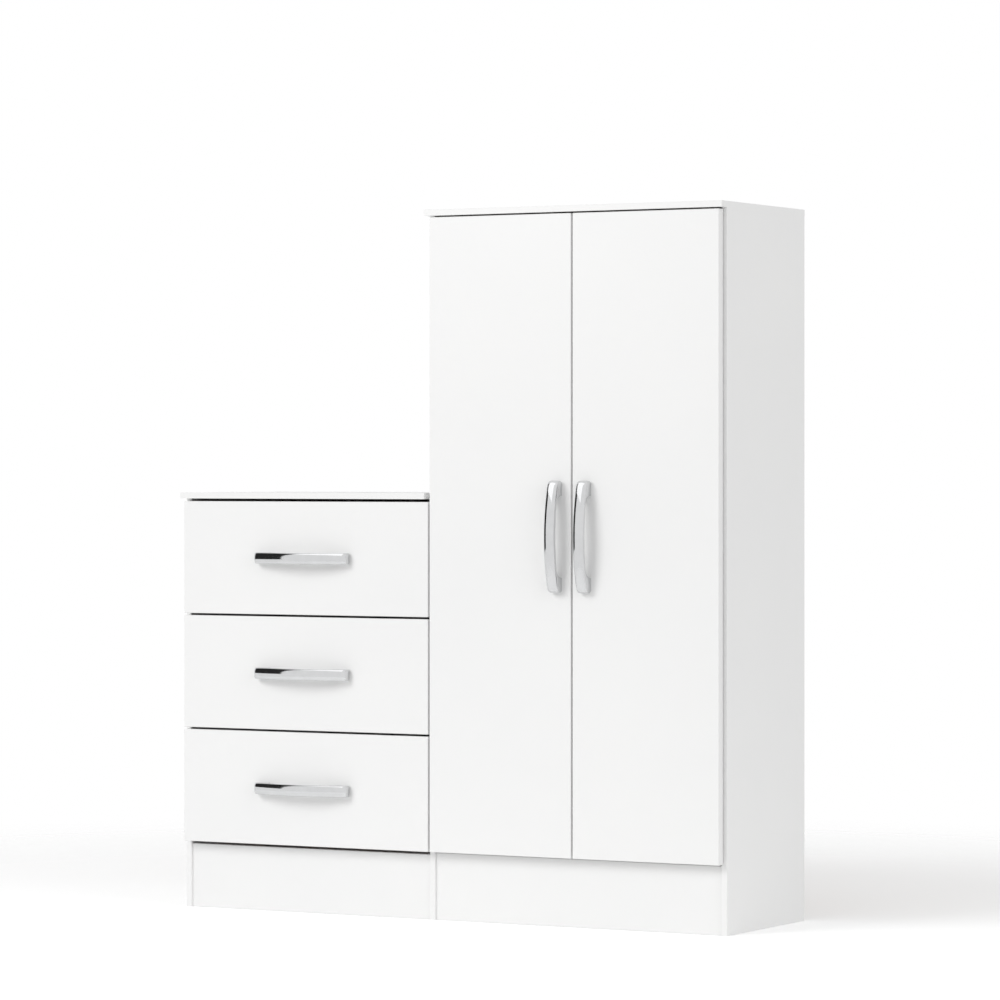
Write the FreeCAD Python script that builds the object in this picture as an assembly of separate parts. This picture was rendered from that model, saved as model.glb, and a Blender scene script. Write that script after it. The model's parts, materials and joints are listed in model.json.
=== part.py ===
"""White laminated chest of three drawers built in one carcass with a taller two-door cabinet.

Millimetres, +Z up, -Y is the front. The origin is on the floor, under the middle of the outer box.
"""
import math
import os

import FreeCAD
import Part

V = FreeCAD.Vector

# Carcass
TOTAL_WIDTH = 1000.0
TOTAL_HEIGHT = 1142.0
PANEL_DEPTH = 280.0
BOARD = 10.0
CHEST_WIDTH = 466.5          # left outer face to the partition
PLINTH_HEIGHT = 105.0        # kick board and floor of the chest
CABINET_FLOOR_RISE = 3.5     # kick board and floor of the cabinet above the chest's
PLINTH_RECESS = 4.0
BACK_BOARD = 3.0
BACK_INSET = 2.0             # back boards stop short of the outer edges
EDGE_EASE = 0.8              # eased edges of the laminated boards

# Fronts
FRONT_BOARD = 15.0
FRONT_STANDOFF = 2.0         # air between a front and the panel edges
FRONT_INSET = 6.0            # fronts stop short of the outer faces
FRONT_LIFT = 5.5             # lower edge of the fronts above the chest's kick board
DRAWER_COUNT = 3
DRAWER_FRONT_HEIGHT = 185.0
DRAWER_GAP = 3.5             # between drawer fronts
TOP_DRAWER_GAP = 4.5
DRAWER_OVERLAY = 6.0         # drawer front over the partition edge
DOOR_GAP = 3.0
DOOR_TOP_GAP = 2.5
TOP_LEAD = 2.0               # tops stand out ahead of the fronts

# Shelves
SHELF_SETBACK = 22.0
SHELF_PLAY = 0.8
SHELF_HEIGHTS = (440.0, 780.0)
SHELF_PEG_SHANK = 5.0
SHELF_PEG_DEPTH = 7.0
SHELF_PEG_TONGUE = 9.0
SHELF_PEG_WIDTH = 8.0
SHELF_PEG_THICK = 3.0
SHELF_PEG_INSET = 40.0

# Dowels and cam fittings
DOWEL_DIAMETER = 6.0
DOWEL_IN_END = 16.0
DOWEL_IN_FACE = 7.0
DOWEL_INSET = 45.0
CAM_DIAMETER = 12.0
CAM_DEPTH = 8.0
CAM_REACH = 24.0             # joint face to the middle of the cam
CAM_SLOT = 2.0
CAM_BOLT = 5.0
CAM_BOLT_IN_FACE = 7.5
FIT = 0.05                   # radial play of pegs, dowels, bolts and pins in their holes

# Sides of the small round pieces, which repeat and stay plain
FASTENER_SIDES = 6           # dowels, bolts, pegs and screws
CAM_SIDES = 12
PIN_SIDES = 12
EYE_SIDES = 16
CUP_SIDES = 24
ROLLER_SIDES = 24

# Drawer boxes and roller runners
BOX_LIFT = 22.0              # box bottom above the lower edge of its front
BOX_HEIGHT = 120.0
BOX_LENGTH = 250.0
BOX_BOTTOM = 3.0
GROOVE_LIFT = 10.0
GROOVE_DEPTH = 4.0
GROOVE_PLAY = 0.1
RUNNER_SPACE = 12.5
RUNNER_SHEET = 1.2
RUNNER_LENGTH = 250.0
RUNNER_STEP = 2.0            # runner starts behind the panel edge
RUNNER_PLATE = 25.0
RUNNER_LEDGE = 10.0
RAIL_WEB = 20.0
RAIL_FLANGE = 9.0
ROLLER_DIAMETER = 18.0
ROLLER_WIDTH = 7.0
ROLLER_SIDE_PLAY = 1.0
ROLLER_RUN = 0.3             # air between a roller and the sheet it runs on
ROLLER_SPREAD = 0.3          # front axle above the rear axle
ROLLER_PIN = 4.0
FRONT_ROLLER_SETBACK = 14.0
REAR_ROLLER_INSET = 12.0

# Bow handles
HANDLE_LENGTH = 178.0
HANDLE_WIDTH = 18.0
HANDLE_HOLES = 160.0
HANDLE_RISE = 30.0
HANDLE_NOSE = 11.0           # radius of the rounded ends
HANDLE_NOSE_HEIGHT = 8.0     # tip of the end above the front
HANDLE_STRIP = 7.5           # thickness in the middle
HANDLE_FOOT = 20.0           # foot length on the front
HANDLE_CLEAR = 100.0         # straight finger space
HANDLE_CLEAR_HEIGHT = 19.0
HANDLE_BEVEL = 2.2
HANDLE_FROM_EDGE = 24.5      # door handle to the free edge of its door
DOOR_HANDLE_HEIGHT = 618.5
SCREW_SHANK = 4.0
SCREW_HEAD = 8.0
SCREW_HEAD_THICK = 2.4
SCREW_BITE = 9.0

# Cup hinges, measured from the hinge edge of the door and from the panel edges
HINGES_PER_DOOR = 2
HINGE_END_DISTANCE = 90.0
CUP_DIAMETER = 35.0
CUP_DEPTH = 11.5
CUP_WALL = 1.0
CUP_FROM_EDGE = 21.0
CUP_FLANGE_LENGTH = 52.0
CUP_FLANGE_WIDTH = 18.0
CUP_FLANGE_THICK = 1.0
CUP_PIN_X = 9.5
CUP_PIN_DEPTH = 6.0          # below the back of the door
ARM_PIN_X = 30.0
ARM_PIN_BACK = 1.0           # behind the panel edges
HINGE_PIN = 3.0
LINK_WIDTH = 10.0
LINK_THICK = 2.5
LINK_EYE = 5.6
LINK_ELBOW_X = 18.0
LINK_ELBOW_DEPTH = 8.3       # below the back of the door
ARM_CHEEK = 2.0
ARM_CHEEK_PLAY = 0.5
ARM_THICK = 4.0
ARM_EYE = 8.0
ARM_SEAT_X = 9.0             # underside of the arm
ARM_BEND_BACK = 26.0
ARM_TAIL_BACK = 60.0
PLATE_LENGTH = 34.0
PLATE_HEIGHT = 46.0
PLATE_CORNER = 4.0

# Derived places
FRONT_STEP = FRONT_STANDOFF + FRONT_BOARD
OUTER_DEPTH = HANDLE_RISE + FRONT_STEP + PANEL_DEPTH + BACK_BOARD
EDGE_Y = -OUTER_DEPTH / 2 + HANDLE_RISE + FRONT_STEP      # front edges of the panels
REAR_Y = EDGE_Y + PANEL_DEPTH
FRONT_Y = EDGE_Y - FRONT_STEP                             # visible face of the fronts
FRONT_BACK_Y = EDGE_Y - FRONT_STANDOFF
LEFT_X = -TOTAL_WIDTH / 2
RIGHT_X = TOTAL_WIDTH / 2
PARTITION_X = LEFT_X + CHEST_WIDTH
CABINET_FLOOR = PLINTH_HEIGHT + CABINET_FLOOR_RISE
FRONT_BOTTOM = PLINTH_HEIGHT + FRONT_LIFT
CHEST_UNDER = (FRONT_BOTTOM + DRAWER_COUNT * DRAWER_FRONT_HEIGHT + (DRAWER_COUNT - 1) * DRAWER_GAP
               + TOP_DRAWER_GAP)
CABINET_UNDER = TOTAL_HEIGHT - BOARD
PLINTH_BACK_Y = EDGE_Y + PLINTH_RECESS + BOARD
BAY_LEFT = LEFT_X + BOARD
BAY_MID = (BAY_LEFT + PARTITION_X) / 2
ROOM_LEFT = PARTITION_X + BOARD
ROOM_RIGHT = RIGHT_X - BOARD
DRAWER_FRONT_LEFT = LEFT_X + FRONT_INSET
DRAWER_FRONT_RIGHT = PARTITION_X + DRAWER_OVERLAY
DOORS_LEFT = DRAWER_FRONT_RIGHT + DOOR_GAP
DOORS_RIGHT = RIGHT_X - FRONT_INSET
DOOR_WIDTH = (DOORS_RIGHT - DOORS_LEFT - DOOR_GAP) / 2
DOOR_TOP = CABINET_UNDER - DOOR_TOP_GAP


def box(x0, x1, y0, y1, z0, z1):
    """Block between two corners."""
    return Part.makeBox(x1 - x0, y1 - y0, z1 - z0, V(x0, y0, z0))


def board(x0, x1, y0, y1, z0, z1, edges="xyz", upper_only=False):
    """Laminated board with its edges along the named axes slightly eased, all or the upper ones."""
    body = box(x0, x1, y0, y1, z0, z1)
    axes = {"x": V(1, 0, 0), "y": V(0, 1, 0), "z": V(0, 0, 1)}
    picked = []
    for edge in body.Edges:
        along = edge.tangentAt(edge.FirstParameter)
        low = edge.CenterOfMass.z < (z0 + z1) / 2
        if any(abs(along.dot(axes[name])) > 0.9 for name in edges) and not (upper_only and low):
            picked.append(edge)
    return body.makeChamfer(EDGE_EASE, picked)


def bar(start, along, length, width, sides=FASTENER_SIDES):
    """Many-sided bar from a point along a direction, measured flat to flat."""
    upright = V(0, 0, 1) if abs(along.z) < 0.5 else V(1, 0, 0)
    across = along.cross(upright).normalize()
    up = along.cross(across).normalize()
    reach = width / 2 / math.cos(math.pi / sides)
    corners = []
    for count in range(sides):
        angle = 2 * math.pi * (count + 0.5) / sides
        corners.append(start + across * (reach * math.cos(angle)) + up * (reach * math.sin(angle)))
    return Part.Face(Part.makePolygon(corners + corners[:1])).extrude(along * length)


def inner_bar(start, along, length, diameter, sides):
    """Many-sided bar with its corners on a circle, free to turn in a hole of that size."""
    return bar(start, along, length, diameter * math.cos(math.pi / sides), sides)


def cut_all(body, tools):
    """Body with every tool taken out of it."""
    return body.cut(tools) if tools else body


def mirrored(shape, x):
    """Copy on the other side of an upright plane."""
    return shape.mirror(V(x, 0, 0), V(1, 0, 0))


def export(name, *solids):
    """Writes one node, a single solid or a set of equal pieces."""
    shape = solids[0] if len(solids) == 1 else Part.makeCompound(list(solids))
    shape.exportStep(os.path.join("parts", name + ".step"))


# Board joints: dowels and cam fittings

def joint(end_board, face_board, at, into_end, hidden):
    """One butt joint: an end of one board against the face of another.

    at is the middle of the end, into_end points into the end board, hidden points to the side
    where the cam is let in.
    """
    return {"end": end_board, "face": face_board, "at": at, "into": into_end, "hidden": hidden}


def board_joints():
    """Every butt joint of the carcass."""
    mid_y = (EDGE_Y + REAR_Y) / 2
    floor_y = (PLINTH_BACK_Y + REAR_Y) / 2
    half = BOARD / 2
    floor_z = PLINTH_HEIGHT - half
    room_z = CABINET_FLOOR - half
    up, down = V(0, 0, 1), V(0, 0, -1)
    left, right = V(-1, 0, 0), V(1, 0, 0)
    return [
        joint("left_side_panel", "chest_top", V(LEFT_X + half, mid_y, CHEST_UNDER), down, right),
        joint("chest_top", "centre_partition", V(PARTITION_X, mid_y, CHEST_UNDER + half), left, down),
        joint("centre_partition", "cabinet_top", V(PARTITION_X + half, mid_y, CABINET_UNDER), down, right),
        joint("right_side_panel", "cabinet_top", V(RIGHT_X - half, mid_y, CABINET_UNDER), down, left),
        joint("chest_floor", "left_side_panel", V(BAY_LEFT, floor_y, floor_z), right, down),
        joint("chest_floor", "centre_partition", V(PARTITION_X, floor_y, floor_z), left, down),
        joint("cabinet_floor", "centre_partition", V(ROOM_LEFT, floor_y, room_z), right, down),
        joint("cabinet_floor", "right_side_panel", V(ROOM_RIGHT, floor_y, room_z), left, down),
    ]


def dowel_spots(one):
    """Dowels of a joint, toward its front and rear. The partition's two sides are kept apart."""
    shift = DOWEL_INSET / 3 if one["into"].x < 0 else 0.0
    reach = PANEL_DEPTH / 2 - PLINTH_RECESS - BOARD - DOWEL_INSET
    return [one["at"] + V(0, side * (reach - shift), 0) for side in (-1, 1)]


def cam_spot(one):
    """Cam fitting of a joint, off the middle so that two joints never meet in the partition."""
    shift = DOWEL_INSET / 3 if one["into"].x < 0 else -DOWEL_INSET / 3
    return one["at"] + V(0, shift, 0)


def dowel(one, at, play=0.0):
    """Dowel across a joint, or its hole when play is given."""
    start = at - one["into"] * (DOWEL_IN_FACE + play)
    return bar(start, one["into"], DOWEL_IN_FACE + DOWEL_IN_END + 2 * play, DOWEL_DIAMETER + 2 * play)


def cam_bolt(one, play=0.0):
    """Bolt screwed in the face board, its tip held by the cam."""
    start = cam_spot(one) - one["into"] * (CAM_BOLT_IN_FACE + play)
    length = CAM_BOLT_IN_FACE + CAM_REACH - CAM_DIAMETER / 2 + 2 * play
    return bar(start, one["into"], length, CAM_BOLT + 2 * play)


def cam_disc(one, play=0.0):
    """Round cam let in from the hidden side of the end board."""
    centre = cam_spot(one) + one["into"] * CAM_REACH + one["hidden"] * (BOARD / 2)
    disc = bar(centre, -one["hidden"], CAM_DEPTH + play, CAM_DIAMETER + 2 * play, CAM_SIDES)
    if play:
        return disc
    slot = box(-CAM_DIAMETER / 3, CAM_DIAMETER / 3, -CAM_SLOT / 2, CAM_SLOT / 2, 0, CAM_SLOT)
    slot.Placement = FreeCAD.Placement(centre, FreeCAD.Rotation(V(0, 0, 1), -one["hidden"]))
    return disc.cut(slot)


def with_joints(name, body):
    """Board with the holes of every joint that it takes part in."""
    tools = []
    for one in board_joints():
        if name in (one["end"], one["face"]):
            tools += [dowel(one, at, FIT) for at in dowel_spots(one)]
            tools.append(cam_bolt(one, FIT))
        if name == one["end"]:
            tools.append(cam_disc(one, FIT))
    return cut_all(body, tools)


# Carcass

def shelf_peg_spots():
    """Places of the shelf pegs: wall point and the direction into the room."""
    front = EDGE_Y + SHELF_SETBACK + SHELF_PEG_INSET
    rear = REAR_Y - SHELF_PEG_INSET
    spots = []
    for height in SHELF_HEIGHTS:
        for y in (front, rear):
            spots.append((V(ROOM_LEFT, y, height), V(1, 0, 0)))
            spots.append((V(ROOM_RIGHT, y, height), V(-1, 0, 0)))
    return spots


def shelf_peg(wall, inward):
    """Peg with a round shank in the wall and a flat tongue under the shelf."""
    axis = wall - V(0, 0, SHELF_PEG_THICK / 2)
    shank = bar(axis - inward * SHELF_PEG_DEPTH, inward, SHELF_PEG_DEPTH, SHELF_PEG_SHANK)
    reach = wall.x + inward.x * SHELF_PEG_TONGUE
    tongue = box(min(wall.x, reach), max(wall.x, reach), wall.y - SHELF_PEG_WIDTH / 2,
                 wall.y + SHELF_PEG_WIDTH / 2, wall.z - SHELF_PEG_THICK, wall.z)
    return shank.fuse(tongue)


def shelf_peg_holes(side):
    """Holes for the shelf pegs in the wall whose inward direction has this sign."""
    holes = []
    for wall, inward in shelf_peg_spots():
        if inward.x * side > 0:
            start = wall - V(0, 0, SHELF_PEG_THICK / 2) - inward * (SHELF_PEG_DEPTH + FIT)
            holes.append(bar(start, inward, SHELF_PEG_DEPTH + 2 * FIT, SHELF_PEG_SHANK + 2 * FIT))
    return holes


def carcass_boards():
    """The standing and lying boards of the carcass by node name."""
    top_y = FRONT_Y - TOP_LEAD
    floor_z, room_z = PLINTH_HEIGHT - BOARD, CABINET_FLOOR - BOARD
    raw = {
        "left_side_panel": board(LEFT_X, BAY_LEFT, EDGE_Y, REAR_Y, 0, CHEST_UNDER, "z"),
        "centre_partition": board(PARTITION_X, ROOM_LEFT, EDGE_Y, REAR_Y, 0, CABINET_UNDER, "z"),
        "right_side_panel": board(ROOM_RIGHT, RIGHT_X, EDGE_Y, REAR_Y, 0, CABINET_UNDER, "z"),
        "chest_top": board(LEFT_X, PARTITION_X, top_y, REAR_Y, CHEST_UNDER, CHEST_UNDER + BOARD, "x", True),
        "cabinet_top": board(PARTITION_X, RIGHT_X, top_y, REAR_Y, CABINET_UNDER, TOTAL_HEIGHT, "xy", True),
        "chest_floor": box(BAY_LEFT, PARTITION_X, PLINTH_BACK_Y, REAR_Y, floor_z, PLINTH_HEIGHT),
        "cabinet_floor": box(ROOM_LEFT, ROOM_RIGHT, PLINTH_BACK_Y, REAR_Y, room_z, CABINET_FLOOR),
    }
    raw["centre_partition"] = cut_all(raw["centre_partition"], shelf_peg_holes(1))
    raw["right_side_panel"] = cut_all(raw["right_side_panel"], shelf_peg_holes(-1))
    return {name: with_joints(name, body) for name, body in raw.items()}


def plinth(x0, x1, top):
    """Kick board set back between two standing panels."""
    return board(x0, x1, EDGE_Y + PLINTH_RECESS, PLINTH_BACK_Y, 0, top, "x")


def back_board(x0, x1, top):
    """Thin board nailed on the rear edges of the carcass."""
    return box(x0, x1, REAR_Y, REAR_Y + BACK_BOARD, PLINTH_HEIGHT - BOARD, top - BACK_INSET)


def shelf(height):
    """Loose shelf lying on four pegs."""
    return board(ROOM_LEFT + SHELF_PLAY, ROOM_RIGHT - SHELF_PLAY, EDGE_Y + SHELF_SETBACK, REAR_Y,
                 height, height + BOARD, "x")


# Handles

def handle():
    """Bow handle lying along X on the plane Y = 0, standing out to -Y, middle at the origin."""
    nose = HANDLE_NOSE
    tip = HANDLE_NOSE_HEIGHT
    end = HANDLE_LENGTH / 2
    middle_x = end - nose
    drop = HANDLE_RISE - tip
    # the bow runs into the rounded ends without a corner
    bow_radius = (middle_x ** 2 + drop ** 2 - nose ** 2) / (2 * (drop - nose))
    lean = math.asin(middle_x / (bow_radius - nose))
    bend = bow_radius * math.sin(lean)
    shoulder = HANDLE_RISE - bow_radius * (1 - math.cos(lean))
    heel = middle_x + math.sqrt(nose ** 2 - tip ** 2)
    foot = heel - HANDLE_FOOT
    clear = HANDLE_CLEAR / 2
    inner = HANDLE_RISE - HANDLE_STRIP
    half = math.sqrt(0.5)
    arch = (clear + (foot - clear) * half, HANDLE_CLEAR_HEIGHT * half)

    def at(x, rise):
        return V(x, -rise, -HANDLE_WIDTH / 2)

    def arc(first, middle, last, side):
        return Part.Arc(*[at(side * x, rise) for x, rise in (first, middle, last)])

    outline = [Part.Arc(at(-bend, shoulder), at(0, HANDLE_RISE), at(bend, shoulder)),
               Part.Arc(at(-clear, HANDLE_CLEAR_HEIGHT), at(0, inner), at(clear, HANDLE_CLEAR_HEIGHT))]
    for side in (-1, 1):
        outline += [
            arc((bend, shoulder), (end, tip), (heel, 0), side),
            Part.LineSegment(at(side * heel, 0), at(side * foot, 0)),
            arc((foot, 0), arch, (clear, HANDLE_CLEAR_HEIGHT), side),
        ]
    wire = Part.Wire(Part.__sortEdges__([curve.toShape() for curve in outline]))
    bow = Part.Face(wire).extrude(V(0, 0, HANDLE_WIDTH))
    rims = []
    for edge in bow.Edges:
        middle = edge.valueAt((edge.FirstParameter + edge.LastParameter) / 2)
        on_side = abs(abs(middle.z) - HANDLE_WIDTH / 2) < 1e-6
        limit = 0 if abs(middle.x) > heel else (HANDLE_RISE + inner) / 2
        if on_side and -middle.y > limit:
            rims.append(edge)
    bow = bow.makeChamfer(HANDLE_BEVEL, rims)
    holes = []
    for spot in handle_screw_spots():
        holes.append(bar(spot, V(0, -1, 0), SCREW_BITE + FIT, SCREW_SHANK + 2 * FIT))
    return cut_all(bow, holes)


def handle_screw_spots():
    """Screw axes of a handle on its base plane."""
    return [V(-HANDLE_HOLES / 2, 0, 0), V(HANDLE_HOLES / 2, 0, 0)]


def handle_screw(spot):
    """Screw from the back of the front board into a foot of the handle."""
    shank = bar(spot + V(0, FRONT_BOARD, 0), V(0, -1, 0), FRONT_BOARD + SCREW_BITE, SCREW_SHANK)
    head = bar(spot + V(0, FRONT_BOARD, 0), V(0, 1, 0), SCREW_HEAD_THICK, SCREW_HEAD)
    return shank.fuse(head)


def handle_screw_hole(spot):
    """Through hole in the front board for a handle screw."""
    return bar(spot, V(0, 1, 0), FRONT_BOARD, SCREW_SHANK + 2 * FIT)


def placed(shape, where, upright):
    """Handle piece moved to its place on a front, turned upright for a door."""
    copy = shape.copy()
    angle = 90 if upright else 0
    copy.Placement = FreeCAD.Placement(where, FreeCAD.Rotation(V(0, 1, 0), angle))
    return copy


# Drawers

def drawer_bottom_z(index):
    """Lower edge of a drawer front, counted from the bottom drawer."""
    return FRONT_BOTTOM + index * (DRAWER_FRONT_HEIGHT + DRAWER_GAP)


def drawer_handle_spot(index):
    """Middle of a drawer front."""
    middle_x = (DRAWER_FRONT_LEFT + DRAWER_FRONT_RIGHT) / 2
    return V(middle_x, FRONT_Y, drawer_bottom_z(index) + DRAWER_FRONT_HEIGHT / 2)


def drawer_tray(base):
    """Thin bottom board of a drawer box, held in the grooves, below the back."""
    side = BAY_LEFT + RUNNER_SPACE + BOARD - GROOVE_DEPTH + GROOVE_PLAY
    return box(side, 2 * BAY_MID - side, FRONT_BACK_Y - GROOVE_DEPTH + GROOVE_PLAY,
               FRONT_BACK_Y + BOX_LENGTH, base + GROOVE_LIFT, base + GROOVE_LIFT + BOX_BOTTOM)


def drawer_groove(base):
    """Room that the thin bottom needs in the boards round it."""
    side = BAY_LEFT + RUNNER_SPACE + BOARD - GROOVE_DEPTH
    return box(side, 2 * BAY_MID - side, FRONT_BACK_Y - GROOVE_DEPTH, FRONT_BACK_Y + BOX_LENGTH,
               base + GROOVE_LIFT - GROOVE_PLAY, base + GROOVE_LIFT + BOX_BOTTOM)


def drawer_front(index):
    """Overlay front with the groove for the thin bottom and the handle holes."""
    low = drawer_bottom_z(index)
    body = board(DRAWER_FRONT_LEFT, DRAWER_FRONT_RIGHT, FRONT_Y, FRONT_BACK_Y, low,
                 low + DRAWER_FRONT_HEIGHT)
    middle = drawer_handle_spot(index)
    tools = [placed(handle_screw_hole(spot), middle, False) for spot in handle_screw_spots()]
    tools.append(drawer_groove(low + BOX_LIFT))
    return cut_all(body, tools)


def drawer_side(base):
    """Left side of a drawer box."""
    left = BAY_LEFT + RUNNER_SPACE
    body = box(left, left + BOARD, FRONT_BACK_Y, FRONT_BACK_Y + BOX_LENGTH, base, base + BOX_HEIGHT)
    return body.cut(drawer_groove(base))


def drawer_back(base):
    """Back of a drawer box, standing on the thin bottom."""
    left = BAY_LEFT + RUNNER_SPACE + BOARD
    rear = FRONT_BACK_Y + BOX_LENGTH
    return box(left, 2 * BAY_MID - left, rear - BOARD, rear, base + GROOVE_LIFT + BOX_BOTTOM,
               base + BOX_HEIGHT)


def roller_axle_z(base, rear):
    """Height of a roller axle above the floor."""
    flange_under = base + RAIL_WEB - RUNNER_SHEET
    front = flange_under - ROLLER_RUN - ROLLER_DIAMETER / 2
    return front - ROLLER_SPREAD if rear else front


def roller_axle_y(rear):
    """Distance of a roller axle from the front, drawer shut."""
    return FRONT_BACK_Y + BOX_LENGTH - REAR_ROLLER_INSET if rear else EDGE_Y + FRONT_ROLLER_SETBACK


def roller(base, rear):
    """Nylon roller of the left runner."""
    start = V(BAY_LEFT + RUNNER_SHEET + ROLLER_SIDE_PLAY, roller_axle_y(rear), roller_axle_z(base, rear))
    wheel = inner_bar(start, V(1, 0, 0), ROLLER_WIDTH, ROLLER_DIAMETER, ROLLER_SIDES)
    bore = bar(start, V(1, 0, 0), ROLLER_WIDTH, ROLLER_PIN + 2 * FIT, PIN_SIDES)
    return wheel.cut(bore)


def roller_pin(base, rear):
    """Axle of a roller, riveted in the runner for the front one and in the rail for the rear one."""
    end = BAY_LEFT + RUNNER_SHEET + ROLLER_SIDE_PLAY + ROLLER_WIDTH + ROLLER_SIDE_PLAY / 2
    start = BAY_LEFT + RUNNER_SHEET + ROLLER_SIDE_PLAY / 2
    if rear:
        end = BAY_LEFT + RUNNER_SPACE - RUNNER_SHEET
    else:
        start = BAY_LEFT + RUNNER_SHEET
    at = V(start, roller_axle_y(rear), roller_axle_z(base, rear))
    return inner_bar(at, V(1, 0, 0), end - start, ROLLER_PIN, PIN_SIDES)


def drawer_rail(base):
    """Left rail on the drawer: seat under the side, web beside it, flange over the front roller."""
    web = BAY_LEFT + RUNNER_SPACE
    y0, y1 = EDGE_Y, FRONT_BACK_Y + BOX_LENGTH
    seat = box(web - RUNNER_SHEET, web + BOARD, y0, y1, base - RUNNER_SHEET, base)
    wall = box(web - RUNNER_SHEET, web, y0, y1, base - RUNNER_SHEET, base + RAIL_WEB)
    flange = box(web - RAIL_FLANGE, web, y0, y1, base + RAIL_WEB - RUNNER_SHEET, base + RAIL_WEB)
    return seat.fuse([wall, flange, roller_pin(base, True)]).removeSplitter()


def cabinet_runner(base):
    """Left runner on the carcass: plate on the panel, ledge that carries the rear roller, front axle."""
    y0 = EDGE_Y + RUNNER_STEP
    y1 = y0 + RUNNER_LENGTH
    ledge_top = roller_axle_z(base, True) - ROLLER_DIAMETER / 2 - ROLLER_RUN
    plate = box(BAY_LEFT, BAY_LEFT + RUNNER_SHEET, y0, y1, ledge_top - RUNNER_SHEET,
                ledge_top + RUNNER_PLATE)
    ledge = box(BAY_LEFT, BAY_LEFT + RUNNER_LEDGE, y0, y1, ledge_top - RUNNER_SHEET, ledge_top)
    return plate.fuse([ledge, roller_pin(base, False)]).removeSplitter()


def both_sides(shape):
    """A left-hand drawer piece and its right-hand twin."""
    return [shape, mirrored(shape, BAY_MID)]


# Doors and cup hinges

def hinge_heights():
    """Middle height of each hinge of a door."""
    first = FRONT_BOTTOM + HINGE_END_DISTANCE
    step = (DOOR_TOP - HINGE_END_DISTANCE - first) / (HINGES_PER_DOOR - 1)
    return [first + step * count for count in range(HINGES_PER_DOOR)]


def on_door(shape, side, height=0.0):
    """Hinge piece drawn at the left door's hinge edge, moved to its height and door."""
    copy = shape.copy()
    copy.translate(V(DOORS_LEFT, EDGE_Y, height))
    return copy if side == "left" else mirrored(copy, (DOORS_LEFT + DOORS_RIGHT) / 2)


def strap(points, thick, width):
    """Bent strap of even thickness, rounded at its ends and bends, centred on height 0."""
    parts = []
    for here, there in zip(points, points[1:]):
        along = there - here
        slab = box(0, along.Length, -thick / 2, thick / 2, -width / 2, width / 2)
        slab.Placement = FreeCAD.Placement(here, FreeCAD.Rotation(V(1, 0, 0), along))
        parts.append(slab)
    for spot in points:
        parts.append(bar(spot - V(0, 0, width / 2), V(0, 0, 1), width, thick, PIN_SIDES))
    return parts[0].fuse(parts[1:]).removeSplitter()


def cup_pin_at():
    """Axis of the pin in the cup, door shut."""
    return V(CUP_PIN_X, -(FRONT_STANDOFF + CUP_PIN_DEPTH), 0)


def arm_pin_at():
    """Axis of the pin in the arm."""
    return V(ARM_PIN_X, ARM_PIN_BACK, 0)


def hinge_pin(at, length):
    """Upright hinge pin centred on height 0."""
    return inner_bar(at - V(0, 0, length / 2), V(0, 0, 1), length, HINGE_PIN, PIN_SIDES)


def hinge_eye(at, diameter, width):
    """Round eye about a pin axis."""
    return inner_bar(at - V(0, 0, width / 2), V(0, 0, 1), width, diameter, EYE_SIDES)


def hinge_bore(at, width):
    """Hole for a hinge pin."""
    return bar(at - V(0, 0, width / 2), V(0, 0, 1), width, HINGE_PIN + 2 * FIT, PIN_SIDES)


def hinge_cup():
    """Pressed cup with its flange on the back of the door and the pin across it."""
    mouth = V(CUP_FROM_EDGE, -FRONT_STANDOFF, 0)
    pot = inner_bar(mouth, V(0, -1, 0), CUP_DEPTH, CUP_DIAMETER, CUP_SIDES)
    inside = bar(mouth + V(0, CUP_FLANGE_THICK, 0), V(0, -1, 0), CUP_DEPTH - CUP_WALL + CUP_FLANGE_THICK,
                 CUP_DIAMETER - 2 * CUP_WALL, CUP_SIDES)
    half = CUP_FLANGE_LENGTH / 2 - CUP_FLANGE_WIDTH / 2
    plate = box(CUP_FROM_EDGE - CUP_FLANGE_WIDTH / 2, CUP_FROM_EDGE + CUP_FLANGE_WIDTH / 2, -FRONT_STANDOFF,
                -FRONT_STANDOFF + CUP_FLANGE_THICK, -half, half)
    ends = []
    for height in (-half, half):
        ends.append(bar(mouth + V(0, 0, height), V(0, 1, 0), CUP_FLANGE_THICK, CUP_FLANGE_WIDTH, EYE_SIDES))
    off_middle = abs(CUP_PIN_X - CUP_FROM_EDGE)
    chord = 2 * ((CUP_DIAMETER / 2 - CUP_WALL / 2) ** 2 - (off_middle + HINGE_PIN / 2) ** 2) ** 0.5
    shell = pot.fuse([plate] + ends).removeSplitter().cut(inside)
    return shell.fuse(hinge_pin(cup_pin_at(), chord))


def hinge_link():
    """Hooked link from the arm pin round the rim of the cup to the cup pin."""
    elbow = V(LINK_ELBOW_X, -(FRONT_STANDOFF + LINK_ELBOW_DEPTH), 0)
    spots = [cup_pin_at(), elbow, arm_pin_at()]
    body = strap(spots, LINK_THICK, LINK_WIDTH)
    eyes = [hinge_eye(spot, LINK_EYE, LINK_WIDTH) for spot in (spots[0], spots[2])]
    holes = [hinge_bore(spot, LINK_WIDTH) for spot in (spots[0], spots[2])]
    return body.fuse(eyes).removeSplitter().cut(holes)


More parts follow.
